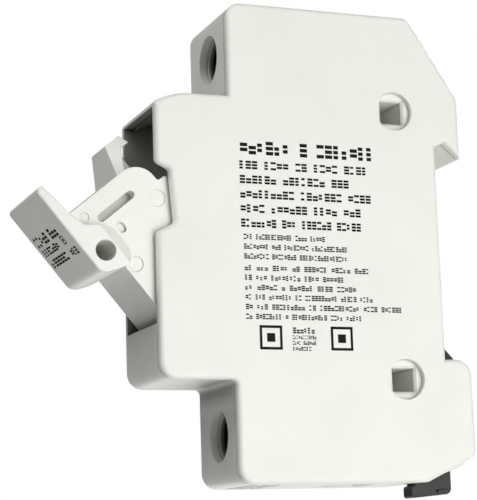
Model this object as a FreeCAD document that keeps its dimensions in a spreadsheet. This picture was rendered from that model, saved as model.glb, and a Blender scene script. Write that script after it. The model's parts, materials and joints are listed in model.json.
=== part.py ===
import FreeCAD, Part
import os

import Sketcher
from FreeCAD import Vector

# Cartridge fuse holder for a 35 mm DIN rail, one pole, 10 x 38 mm fuse.
# Frame: origin on the rail seat plane, at mid width and on the rail's centre line.
# +X is across the width, towards the side cover. +Y points into the rail. +Z is up.

DIMENSIONS = {
    # How far cuts run past a face, and the small lap of a cut or a pad into its neighbour
    "past": 1.0,
    "lap": 0.1,
    # Housing outline, seen along X
    "half_width": 9.0,
    "parting_x": 7.4,
    "floor_x": -7.5,
    "base_front_y": -36.2,
    "shoulder_front_y": -48.5,
    "top_z": 39.2,
    "top_rear_y": -4.0,
    "rear_y": 4.6,
    "slope_end_z": 25.8,
    "hook_tip_z": 15.7,
    "hook_root_y": 1.7,
    "hook_root_z": 18.26,
    "seat_top_z": 17.5,
    "seat_bottom_z": -17.8,
    "low_slope_z": -33.4,
    "low_rear_y": -4.1,
    "bottom_z": -37.4,
    "shoulder_bottom_z": -21.3,
    "shoulder_top_z": 23.7,
    "shoulder_lip_z": 22.1,
    "shoulder_crown_y": -44.8,
    "notch_top_z": 12.4,
    "notch_upper_y": -46.3,
    "notch_upper_z": 11.3,
    "notch_lower_y": -45.6,
    "notch_lower_z": 2.8,
    "notch_bottom_z": 1.3,
    "relief_z": 11.6,
    "relief_width": 0.8,
    "relief_depth": 0.4,
    "big_corner": 2.6,
    "rear_corner": 1.6,
    "crown_radius": 11.0,
    "notch_corner": 0.9,
    "rim_round": 0.75,
    "seam_chamfer": 0.22,
    # Cavity and walls
    "cavity_front_y": -33.9,
    "shoulder_inner_y": -46.9,
    "cavity_top_z": 37.2,
    "cavity_bottom_z": -35.4,
    "cavity_rear_y": -1.8,
    "cavity_slope_y": -4.9,
    "cavity_heel_y": 2.6,
    "cavity_heel_top_z": 25.5,
    "cavity_heel_low_z": 20.2,
    "cavity_shoulder_top_z": 22.2,
    "cavity_shoulder_low_z": -19.7,
    "cavity_lip_z": 21.0,
    "cavity_crown_y": -44.2,
    "cavity_clip_y": -6.0,
    "cavity_clip_z": -16.4,
    "mouth_top_z": 21.4,
    "mouth_bottom_z": -12.7,
    "mouth_round": 0.8,
    "rib": 1.2,
    "rib_end_x": 7.3,
    "back_wall_y": -16.9,
    "upper_deck_z": 26.4,
    "lower_deck_z": -24.5,
    "head_wall_y": -27.2,
    "cage_wall_y": -8.2,
    "roof_rib_end_y": -24.5,
    # Locating pins of the cover and their posts
    "pin_radius": 1.2,
    "pin_gap": 0.03,
    "pin_length": 3.0,
    "post_radius": 2.3,
    "front_pin_y": -31.2,
    "front_pin_z": 24.4,
    "heel_pin_y": -39.5,
    "heel_pin_z": -16.9,
    "back_pin_y": -12.5,
    "back_pin_upper_z": 12.0,
    "back_pin_lower_z": -10.0,
    # Pole-link recesses and their square tunnels
    "link_y": -7.35,
    "link_upper_z": 22.95,
    "link_lower_z": -21.1,
    "link_recess_radius": 3.25,
    "link_recess_depth": 1.0,
    "link_square": 3.75,
    "link_chamfer": 0.4,
    "link_wall": 1.2,
    # Terminals
    "screw_upper_z": 31.8,
    "screw_lower_z": -29.4,
    "screw_mouth_radius": 4.15,
    "screw_mouth_depth": 1.5,
    "screw_ring_radius": 3.7,
    "screw_head_radius": 3.9,
    "screw_head_front_y": -31.4,
    "screw_head_length": 2.8,
    "screw_shank_radius": 2.45,
    "screw_tip_y": -19.7,
    "screw_tip_chamfer": 0.5,
    "screw_head_round": 0.4,
    "screw_recess_width": 1.0,
    "screw_recess_length": 4.6,
    "screw_recess_depth": 1.7,
    "shank_slot": 2.8,
    "cage_half_x": 5.6,
    "cage_wall": 1.2,
    "cage_half_z": 4.5,
    "cage_front_y": -22.4,
    "cage_front_wall": 2.4,
    "cage_rear_y": -10.0,
    "cage_rear_wall": 1.5,
    "thread_gap": 0.05,
    "tooth": 0.5,
    "tooth_inset": 0.4,
    "wire_y": -15.0,
    "wire_half_x": 4.0,
    "wire_half_y": 3.35,
    "wire_chamfer": 0.5,
    "grip_groove_width": 0.7,
    "grip_groove_depth": 0.4,
    "grip_groove_pitch": 2.0,
    "grip_groove_first_y": -33.2,
    "grip_groove_half_x": 6.5,
    # Contacts
    "bar_half_x": 4.0,
    "bar_thick": 1.2,
    "bar_terminal_y": -19.6,
    "bar_upper_y": -23.2,
    "bar_upper_low_z": 5.5,
    "bar_upper_jog_z": 21.2,
    "bar_upper_end_z": 36.0,
    "bar_lower_top_z": -23.3,
    "bar_lower_front_y": -33.4,
    "bar_lower_end_z": -33.6,
    "jaw_sheet": 0.8,
    "jaw_inner_x": 5.2,
    "jaw_upper_front_y": -33.0,
    "jaw_upper_low_z": 9.2,
    "jaw_upper_high_z": 15.4,
    "jaw_lower_front_y": -33.4,
    "jaw_lower_rear_y": -26.0,
    "jaw_lower_high_z": -13.7,
    "jaw_bend": 0.6,
    "jaw_flare": 0.5,
    "jaw_flare_length": 1.3,
    "ring_sheet": 0.5,
    "ring_gap": 0.05,
    "ring_tip": 1.0,
    "ring_upper_low_z": 10.6,
    "ring_upper_high_z": 13.8,
    "ring_upper_front_y": -31.4,
    "ring_lower_front_y": -29.8,
    "ring_lower_rear_y": -27.5,
    "ring_lower_high_z": -15.4,
    "rivet_radius": 1.2,
    "rivet_head_radius": 1.7,
    "rivet_head": 0.5,
    "rivet_upper_z": 7.3,
    "rivet_lower_y": -31.7,
    "rivet_half_pitch": 2.1,
    "rivet_drill": 3.0,
    # Fuse carrier, given as it stands when it is shut
    "pivot_y": -43.0,
    "pivot_z": -7.5,
    "carrier_open_angle": 39.5,
    "carrier_half_x": 7.1,
    "trunnion_radius": 1.6,
    "trunnion_end_x": 8.2,
    "trunnion_gap": 0.05,
    "trunnion_hole_x": 8.35,
    "grip_front_y": -52.95,
    "grip_top_z": 19.2,
    "grip_back_y": -51.62,
    "lip_root_y": -50.9,
    "plate_top_z": 13.25,
    "neck_step_y": -50.2,
    "neck_step_z": 10.7,
    "neck_brow_y": -47.6,
    "neck_brow_z": 8.8,
    "neck_rear_y": -46.4,
    "neck_rear_high_z": 7.2,
    "neck_rear_low_z": 3.2,
    "ramp_start_y": -48.35,
    "ramp_end_y": -46.1,
    "neck_foot_y": -48.3,
    "neck_foot_z": 1.7,
    "grip_heel_y": -50.1,
    "grip_heel_z": 2.05,
    "grip_low_z": 3.25,
    "plate_front_y": -48.7,
    "plate_rear_y": -35.75,
    "plate_step_z": 8.7,
    "plate_shelf_y": -34.5,
    "plate_bow_y": -29.0,
    "plate_bow_z": 4.7,
    "plate_tail_y": -25.2,
    "plate_tail_z": -2.9,
    "plate_bottom_z": -13.2,
    "heel_round": 3.8,
    "tail_round": 1.0,
    "dip_round": 0.5,
    "grip_round": 0.75,
    "grip_low_round": 1.9,
    "grip_back_round": 0.5,
    "plate_round": 3.6,
    "bow_round": 12.0,
    "neck_round": 1.3,
    "soft_edge": 0.35,
    "fuse_axis_y": -29.8,
    "fuse_seat_radius": 5.4,
    "fuse_top_z": 16.2,
    "arm_top_z": 18.0,
    "arm_front_top_y": -36.4,
    "arm_front_low_y": -39.95,
    "arm_foot_z": 8.0,
    "arm_web_rear_y": -38.05,
    "arm_web_top_y": -35.2,
    "arm_split_x": 0.0,
    "hook_rear_y": -33.5,
    "arm_side_top_x": 0.3,
    "arm_side_low_x": 4.8,
    "core_half_x": 4.0,
    "core_front_y": -46.9,
    "core_high_z": 11.4,
    "core_low_z": -5.0,
    "lock_y": -50.15,
    "lock_z": 5.56,
    "lock_radius": 1.62,
    "slot_front_y": -47.4,
    "slot_rear_y": -40.1,
    "slot_z": 9.72,
    "slot_width": 1.3,
    "slot_depth": 2.4,
    "dimple_y": -45.2,
    "dimple_z": 6.7,
    "dimple_width": 1.2,
    "dimple_length": 0.9,
    "dimple_depth": 0.5,
    "mark_depth": 0.15,
    "mark_rear_y": -37.64,
    "mark_rear_z": 6.73,
    "mark_rear_radius": 1.35,
    "mark_low_y": -47.1,
    "mark_low_z": 0.95,
    "mark_low_radius": 1.2,
    "mark_front_y": -48.9,
    "mark_front_z": 11.4,
    "mark_front_radius": 0.75,
    # Rail clip
    "clip_low_x": 2.0,
    "clip_high_x": 5.0,
    "clip_gap": 0.25,
    "clip_travel": 3.0,
    "clip_nose_y": 1.25,
    "clip_nose_z": -15.0,
    "clip_rear_y": 3.4,
    "clip_slope_z": -17.3,
    "clip_step_z": -31.0,
    "clip_leg_y": 1.7,
    "clip_rear_low_z": -39.15,
    "clip_front_low_z": -39.75,
    "clip_tab_y": -5.35,
    "clip_tab_top_z": -37.75,
    "clip_front_y": -4.7,
    "clip_knee_z": -24.9,
    "clip_top_y": -3.7,
    "clip_top_z": -19.5,
    "clip_window_front_y": -3.4,
    "clip_window_rear_y": -0.2,
    "clip_window_top_z": -26.0,
    "clip_window_low_z": -34.7,
    "clip_round": 0.5,
    "clip_foot_y": -0.9,
    "clip_foot_top_z": -38.5,
    "clip_foot_high_x": 5.5,
    "coil_y": -1.8,
    "coil_x": 3.5,
    "coil_radius": 1.1,
    "coil_wire_radius": 0.25,
    "coil_turns": 6.0,
    "coil_foot_z": -33.0,
    "coil_post": 1.2,
    "coil_post_half_y": 1.2,
}

GRIP_GROOVES = 3
TEETH_EACH_WAY = 3
NEARLY_ROUND = 0.98
TINY = 1e-6
SLACK = 0.01

document = FreeCAD.newDocument("fuse_holder")
sheet = document.addObject("Spreadsheet::Sheet", "Dims")
for row, (alias, number) in enumerate(DIMENSIONS.items(), start=1):
    sheet.set("A%d" % row, alias)
    sheet.set("B%d" % row, str(number))
    sheet.setAlias("B%d" % row, alias)
document.recompute()


class Size:
    """A length: its value now, and the sheet expression that drives it."""

    def __init__(self, value, text):
        self.value = value
        self.text = text

    def join(self, other, sign, value):
        return Size(value, "(%s %s %s)" % (self.text, sign, other.text))

    def __add__(self, other):
        other = as_size(other)
        return self.join(other, "+", self.value + other.value)

    def __sub__(self, other):
        other = as_size(other)
        return self.join(other, "-", self.value - other.value)

    def __mul__(self, other):
        other = as_size(other)
        return self.join(other, "*", self.value * other.value)

    def __neg__(self):
        return Size(-self.value, "(-%s)" % self.text)


def as_size(number):
    """A plain number as a Size; a Size stays as it is."""
    if isinstance(number, Size):
        return number
    return Size(float(number), "%g" % number)


class Sizes:
    """Reads d.alias as the Size of that sheet cell."""

    def __getattr__(self, alias):
        return Size(float(sheet.get(alias)), "Dims." + alias)


d = Sizes()
ZERO = as_size(0.0)

# ---------------------------------------------------------------- sketch and feature helpers


def new_body(label):
    body = document.addObject("PartDesign::Body", label)
    body.Label = label
    return body


def new_sketch(body, role, level):
    """An empty sketch on the body's own origin plane, raised along its normal to level."""
    planes = [item for item in body.Origin.OriginFeatures if item.Role == role]
    sketch = body.newObject("Sketcher::SketchObject", body.Label + "_sketch")
    sketch.AttachmentSupport = [(planes[0], "")]
    sketch.MapMode = "FlatFace"
    sketch.setExpression("AttachmentOffset.Base.z", as_size(level).text)
    return sketch


def pin_point(sketch, geometry, end, across, up):
    """Holds one sketch point at its distances from the origin."""
    for kind, axis, length in (("DistanceX", -2, across), ("DistanceY", -1, up)):
        if abs(length.value) < TINY:
            sketch.addConstraint(Sketcher.Constraint("PointOnObject", geometry, end, axis))
            continue
        rule = Sketcher.Constraint(kind, -1, 1, geometry, end, length.value)
        index = sketch.addConstraint(rule)
        sketch.setExpression("Constraints[%d]" % index, length.text)


def add_polygon(sketch, points):
    """A closed polygon whose corners are bound to the sheet."""
    first = sketch.GeometryCount
    corners = [(as_size(across), as_size(up)) for across, up in points]
    for number, (across, up) in enumerate(corners):
        following = corners[(number + 1) % len(corners)]
        start = Vector(across.value, up.value, 0)
        end = Vector(following[0].value, following[1].value, 0)
        sketch.addGeometry(Part.LineSegment(start, end))
    for number, (across, up) in enumerate(corners):
        following = first + (number + 1) % len(corners)
        sketch.addConstraint(Sketcher.Constraint("Coincident", first + number, 2, following, 1))
        pin_point(sketch, first + number, 1, across, up)


def add_rectangle(sketch, left, right, low, high):
    add_polygon(sketch, [(left, low), (right, low), (right, high), (left, high)])


def add_circle(sketch, across, up, radius):
    across, up, radius = as_size(across), as_size(up), as_size(radius)
    centre = Vector(across.value, up.value, 0)
    index = sketch.addGeometry(Part.Circle(centre, Vector(0, 0, 1), radius.value))
    pin_point(sketch, index, 3, across, up)
    rule = sketch.addConstraint(Sketcher.Constraint("Radius", index, radius.value))
    sketch.setExpression("Constraints[%d]" % rule, radius.text)


def volume_of(body):
    document.recompute()
    return body.Shape.Volume


def pad(body, sketch, length):
    """Adds the sketch along its normal."""
    before = 0.0 if body.Shape.isNull() else body.Shape.Volume
    feature = body.newObject("PartDesign::Pad", body.Label + "_pad")
    feature.Profile = sketch
    feature.setExpression("Length", as_size(length).text)
    if volume_of(body) <= before:
        raise RuntimeError("a pad of %s adds nothing" % body.Label)
    return feature


def pocket(body, sketch, length, along_normal=False):
    """Cuts the sketch against its normal, or along it."""
    before = body.Shape.Volume
    feature = body.newObject("PartDesign::Pocket", body.Label + "_pocket")
    feature.Profile = sketch
    feature.Reversed = along_normal
    feature.setExpression("Length", as_size(length).text)
    if volume_of(body) >= before - TINY:
        raise RuntimeError("a pocket of %s cuts nothing" % body.Label)
    return feature


def cut_forward(body, sketch, length):
    """Cuts an XZ sketch towards the front, which is along its normal."""
    return pocket(body, sketch, length, along_normal=True)


def slab(body, low_x, high_x, *polygons):
    """Adds polygons in the YZ plane between two X levels."""
    sketch = new_sketch(body, "YZ_Plane", low_x)
    for points in polygons:
        add_polygon(sketch, points)
    return pad(body, sketch, as_size(high_x) - low_x)


def sink(body, low_x, high_x, *polygons):
    """Cuts polygons in the YZ plane between two X levels."""
    sketch = new_sketch(body, "YZ_Plane", high_x)
    for points in polygons:
        add_polygon(sketch, points)
    return pocket(body, sketch, as_size(high_x) - low_x)


def rods(body, low_x, high_x, circles):
    """Adds round bars along X between two X levels."""
    sketch = new_sketch(body, "YZ_Plane", low_x)
    for across, up, radius in circles:
        add_circle(sketch, across, up, radius)
    return pad(body, sketch, as_size(high_x) - low_x)


def bores(body, low_x, high_x, circles):
    """Cuts round holes along X between two X levels."""
    sketch = new_sketch(body, "YZ_Plane", high_x)
    for across, up, radius in circles:
        add_circle(sketch, across, up, radius)
    return pocket(body, sketch, as_size(high_x) - low_x)


def box_points(front_y, rear_y, low_z, high_z):
    return [(front_y, low_z), (rear_y, low_z), (rear_y, high_z), (front_y, high_z)]


def square_points(centre_y, centre_z, side):
    half = as_size(side) * 0.5
    return box_points(centre_y - half, centre_y + half, centre_z - half, centre_z + half)


def named_edges(body, wanted):
    """Names of the body's edges for which wanted(edge) is true."""
    edges = enumerate(body.Shape.Edges, start=1)
    return ["Edge%d" % number for number, edge in edges if wanted(edge)]


def middle(edge):
    return edge.valueAt((edge.FirstParameter + edge.LastParameter) / 2)


def along(edge, axis, corners):
    """True for a straight edge along axis 0, 1 or 2 through one of the corners across it."""
    first, last = edge.Vertexes[0].Point, edge.Vertexes[-1].Point
    others = [number for number in range(3) if number != axis]
    if abs(last[axis] - first[axis]) < edge.Length - SLACK:
        return False
    places = [[as_size(size).value for size in corner] for corner in corners]
    here = [first[other] for other in others]
    return any(all(abs(a - b) < SLACK for a, b in zip(here, place)) for place in places)


def in_plane_x(edge, level):
    """True for an edge that lies in the plane at this X."""
    points = [vertex.Point for vertex in edge.Vertexes] + [middle(edge)]
    return all(abs(point.x - level) < SLACK for point in points)


def dress(body, kind, size, wanted):
    """A fillet or a chamfer on every edge that is wanted."""
    names = named_edges(body, wanted)
    if not names:
        raise RuntimeError("no edge of %s to dress" % body.Label)
    feature = body.newObject("PartDesign::" + kind, body.Label + "_" + kind.lower())
    feature.Base = (body.getObject(feature.BaseFeature.Name), names)
    feature.setExpression("Radius" if kind == "Fillet" else "Size", as_size(size).text)
    document.recompute()
    return feature


def round_corners(body, radius, corners, axis=0):
    return dress(body, "Fillet", radius, lambda edge: along(edge, axis, corners))


# ---------------------------------------------------------------- housing


def housing_outline():
    """The holder's outline along X, from the top front corner round by the rail."""
    return [
        (d.base_front_y, d.top_z),
        (d.top_rear_y, d.top_z),
        (d.rear_y, d.slope_end_z),
        (d.rear_y, d.hook_tip_z),
        (d.hook_root_y, d.hook_root_z),
        (ZERO, d.seat_top_z),
        (ZERO, d.seat_bottom_z),
        (d.rear_y, d.seat_bottom_z),
        (d.rear_y, d.low_slope_z),
        (d.low_rear_y, d.bottom_z),
        (d.base_front_y, d.bottom_z),
        (d.base_front_y, d.shoulder_bottom_z),
        (d.shoulder_front_y, d.shoulder_bottom_z),
        (d.shoulder_front_y, d.notch_bottom_z),
        (d.notch_lower_y, d.notch_lower_z),
        (d.notch_upper_y, d.notch_upper_z),
        (d.shoulder_front_y, d.notch_top_z),
        (d.shoulder_front_y, d.shoulder_lip_z),
        (d.shoulder_crown_y, d.shoulder_top_z),
        (d.base_front_y, d.shoulder_top_z),
    ]


def housing_blank(label, low_x, high_x, rim_x):
    """The outline as a slab, its corners rounded and its outer rim softened."""
    body = new_body(label)
    slab(body, low_x, high_x, housing_outline())
    round_corners(body, d.big_corner, [
        (d.base_front_y, d.top_z),
        (d.rear_y, d.seat_bottom_z),
        (d.base_front_y, d.bottom_z),
        (d.shoulder_front_y, d.shoulder_bottom_z),
    ])
    round_corners(body, d.rear_corner, [
        (d.top_rear_y, d.top_z),
        (d.rear_y, d.slope_end_z),
        (d.rear_y, d.low_slope_z),
        (d.low_rear_y, d.bottom_z),
    ])
    round_corners(body, d.crown_radius, [(d.shoulder_crown_y, d.shoulder_top_z)])
    round_corners(body, d.notch_corner, [
        (d.base_front_y, d.shoulder_bottom_z),
        (d.notch_lower_y, d.notch_lower_z),
        (d.notch_upper_y, d.notch_upper_z),
        (d.shoulder_front_y, d.shoulder_lip_z),
        (d.shoulder_front_y, d.notch_top_z),
        (d.shoulder_front_y, d.notch_bottom_z),
    ])
    rim = as_size(rim_x).value
    dress(body, "Fillet", d.rim_round, lambda edge: in_plane_x(edge, rim))
    # Relief grooves between the flat middle of the seat and the two bands the rail bears on
    grooves = []
    for low_z in (d.relief_z, -d.relief_z - d.relief_width):
        grooves.append(box_points(-d.relief_depth, d.past, low_z, low_z + d.relief_width))
    sink(body, low_x, high_x, *grooves)
    return body


LINKS = [(d.link_y, d.link_upper_z), (d.link_y, d.link_lower_z)]
PINS = [
    (d.front_pin_y, d.front_pin_z),
    (d.heel_pin_y, d.heel_pin_z),
    (d.back_pin_y, d.back_pin_upper_z),
    (d.back_pin_y, d.back_pin_lower_z),
]
TERMINALS = [("upper", d.screw_upper_z), ("lower", d.screw_lower_z)]


def cavity_outline():
    """The hollow inside the shell: shoulder, base and the heel above the rail."""
    return [
        (d.cavity_front_y, d.cavity_shoulder_top_z),
        (d.cavity_front_y, d.cavity_top_z),
        (d.cavity_slope_y, d.cavity_top_z),
        (d.cavity_heel_y, d.cavity_heel_top_z),
        (d.cavity_heel_y, d.cavity_heel_low_z),
        (d.cavity_rear_y, d.cavity_heel_low_z),
        (d.cavity_rear_y, d.cavity_clip_z),
        (d.cavity_clip_y, d.cavity_clip_z),
        (d.cavity_clip_y, d.cavity_bottom_z),
        (d.cavity_front_y, d.cavity_bottom_z),
        (d.cavity_front_y, d.cavity_shoulder_low_z),
        (d.shoulder_inner_y, d.cavity_shoulder_low_z),
        (d.shoulder_inner_y, d.cavity_lip_z),
        (d.cavity_crown_y, d.cavity_shoulder_top_z),
    ]


def clip_channel():
    """The rail clip's outline, wider by the gap and longer by the travel."""
    gap = d.clip_gap
    low = d.clip_front_low_z - d.clip_travel
    return [
        (d.clip_nose_y - gap, d.seat_bottom_z + gap * 2),
        (d.clip_rear_y + gap, d.seat_bottom_z + gap * 2),
        (d.clip_rear_y + gap, low),
        (d.clip_front_y - gap, low),
        (d.clip_front_y - gap, d.clip_knee_z + gap),
        (d.clip_top_y - gap, d.clip_knee_z + gap),
        (d.clip_top_y - gap, d.clip_top_z + gap),
        (d.clip_nose_y - gap, d.clip_top_z + gap),
    ]


def make_body_shell():
    body = housing_blank("body_shell", -d.half_width, d.parting_x, -d.half_width)
    sink(body, d.floor_x, d.parting_x, cavity_outline())
    mouth = box_points(d.shoulder_front_y - d.past, d.shoulder_inner_y, d.mouth_bottom_z, d.mouth_top_z)
    sink(body, d.floor_x, d.parting_x, mouth)
    round_corners(body, d.mouth_round, [(d.shoulder_inner_y, d.mouth_bottom_z)])
    # Ribs: the fuse chamber's back wall, the decks under the terminals, the walls behind the
    # screw heads and behind the cages, and the roof of the fuse chamber
    back_front = d.back_wall_y - d.rib
    head_front = d.head_wall_y - d.rib
    cage_front = d.cage_wall_y - d.rib
    back_wall = box_points(back_front, d.back_wall_y, d.lower_deck_z, d.upper_deck_z)
    upper_deck = box_points(back_front, d.cavity_rear_y, d.upper_deck_z - d.rib, d.upper_deck_z)
    lower_deck = box_points(back_front, d.cavity_clip_y, d.lower_deck_z, d.lower_deck_z + d.rib)
    upper_head = box_points(head_front, d.head_wall_y, d.upper_deck_z, d.cavity_top_z)
    upper_cage = box_points(cage_front, d.cage_wall_y, d.upper_deck_z, d.cavity_top_z)
    lower_cage = box_points(cage_front, d.cage_wall_y, d.cavity_bottom_z, d.lower_deck_z)
    head_top = d.screw_lower_z + d.screw_head_radius
    lower_head = box_points(head_front, d.head_wall_y, d.cavity_bottom_z, head_top)
    roof_low = d.cavity_shoulder_top_z
    roof = box_points(d.cavity_front_y, d.roof_rib_end_y, roof_low, roof_low + d.rib)
    for rib in (
        back_wall, upper_deck, lower_deck, upper_head, upper_cage, lower_cage, lower_head, roof,
    ):
        slab(body, d.floor_x, d.rib_end_x, rib)
    # Posts for the cover's pins, and walls round the link tunnels
    rods(body, d.floor_x, d.rib_end_x, [(y, z, d.post_radius) for y, z in PINS])
    tunnel_wall = d.link_square + d.link_wall * 2
    slab(body, d.floor_x, d.rib_end_x, *[square_points(y, z, tunnel_wall) for y, z in LINKS])
    socket = d.pin_radius + d.pin_gap
    bores(body, d.parting_x - d.pin_length - d.past, d.parting_x, [(y, z, socket) for y, z in PINS])
    outside = -d.half_width - d.past
    sink(body, outside, d.parting_x, *[square_points(y, z, d.link_square) for y, z in LINKS])
    recess_x = d.link_recess_depth - d.half_width
    bores(body, outside, recess_x, [(y, z, d.link_recess_radius) for y, z in LINKS])
    # Trunnion hole
    trunnion = d.trunnion_radius + d.trunnion_gap
    bores(body, -d.trunnion_hole_x, d.floor_x, [(d.pivot_y, d.pivot_z, trunnion)])
    # Screw mouths, seen along Y: a wide mouth, then a ring that keeps the screw in
    for radius, far_y in (
        (d.screw_mouth_radius, d.base_front_y + d.screw_mouth_depth),
        (d.screw_ring_radius, d.cavity_front_y + d.lap),
    ):
        sketch = new_sketch(body, "XZ_Plane", -far_y)
        for _, centre in TERMINALS:
            add_circle(sketch, ZERO, centre, radius)
        cut_forward(body, sketch, far_y - d.base_front_y + d.past)
    # Slots for the screw shanks, open towards the cover
    slot = d.shank_slot
    for _, centre in TERMINALS:
        low, high = centre - slot, centre + slot
        gap = box_points(head_front - d.lap, d.head_wall_y + d.lap, low, high)
        sink(body, -slot, d.parting_x, gap)
    # Wire entries through top and bottom
    wire_front = d.wire_y - d.wire_half_y
    wire_rear = d.wire_y + d.wire_half_y
    for high_z, low_z in (
        (d.top_z + d.past, d.cavity_top_z - d.lap),
        (d.cavity_bottom_z + d.lap, d.bottom_z - d.past),
    ):
        entry = new_sketch(body, "XY_Plane", high_z)
        add_rectangle(entry, -d.wire_half_x, d.wire_half_x, wire_front, wire_rear)
        pocket(body, entry, high_z - low_z)
    dress(body, "Chamfer", d.wire_chamfer, entry_edge)
    # Grip grooves under the front foot
    grooves = new_sketch(body, "XY_Plane", d.bottom_z + d.grip_groove_depth)
    for number in range(GRIP_GROOVES):
        front = d.grip_groove_first_y + d.grip_groove_pitch * number
        rear = front + d.grip_groove_width
        add_rectangle(grooves, -d.grip_groove_half_x, d.grip_groove_half_x, front, rear)
    pocket(body, grooves, d.grip_groove_depth + d.past)
    # Rail clip channel, and the post that carries the clip's spring
    sink(body, d.clip_low_x - d.clip_gap, d.parting_x, clip_channel())
    post_low = d.coil_foot_z - d.coil_post
    post_half = d.coil_post_half_y
    post = box_points(d.coil_y - post_half, d.coil_y + post_half, post_low, d.coil_foot_z)
    slab(body, d.clip_low_x - d.clip_gap - d.lap, d.clip_high_x, post)
    return body


def entry_edge(edge):
    """True for the outer edges of the two wire entries."""
    centre = middle(edge)
    on_face = min(abs(centre.z - d.top_z.value), abs(centre.z - d.bottom_z.value)) < SLACK
    near = abs(centre.y - d.wire_y.value) < d.wire_half_y.value + SLACK
    return on_face and near and abs(centre.x) < d.wire_half_x.value + SLACK


def make_side_cover():
    body = housing_blank("side_cover", d.parting_x, d.half_width, d.half_width)
    seam = d.parting_x.value
    dress(body, "Chamfer", d.seam_chamfer, lambda edge: in_plane_x(edge, seam))
    recess_x = d.half_width - d.link_recess_depth
    inside = d.parting_x - d.past
    outside = d.half_width + d.past
    bores(body, recess_x, outside, [(y, z, d.link_recess_radius) for y, z in LINKS])
    sink(body, inside, outside, *[square_points(y, z, d.link_square) for y, z in LINKS])
    floor = recess_x.value
    dress(body, "Chamfer", d.link_chamfer, lambda edge: in_plane_x(edge, floor) and straight(edge))
    trunnion = d.trunnion_radius + d.trunnion_gap
    bores(body, inside, d.trunnion_hole_x, [(d.pivot_y, d.pivot_z, trunnion)])
    rods(body, d.parting_x - d.pin_length, d.parting_x, [(y, z, d.pin_radius) for y, z in PINS])
    # Pad that guides the rail clip from the cover's side
    gap = d.clip_gap
    guide = [
        (d.clip_nose_y, d.seat_bottom_z - gap),
        (d.clip_rear_y, d.seat_bottom_z - gap),
        (d.clip_rear_y, d.low_slope_z - d.rib),
        (d.low_rear_y, d.bottom_z + gap),
        (d.clip_front_y, d.bottom_z + gap),
        (d.clip_front_y, d.clip_knee_z),
        (d.clip_top_y, d.clip_knee_z),
        (d.clip_top_y, d.clip_top_z),
        (d.clip_nose_y, d.clip_top_z),
    ]
    slab(body, d.clip_high_x + gap, d.parting_x, guide)
    return body


def straight(edge):
    return edge.Curve.TypeId == "Part::GeomLine"


# ---------------------------------------------------------------- fuse carrier


def both_sides(half_x, depth):
    """The X spans of two shallow cuts into opposite faces."""
    return ((half_x - depth, half_x), (-half_x, depth - half_x))


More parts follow.
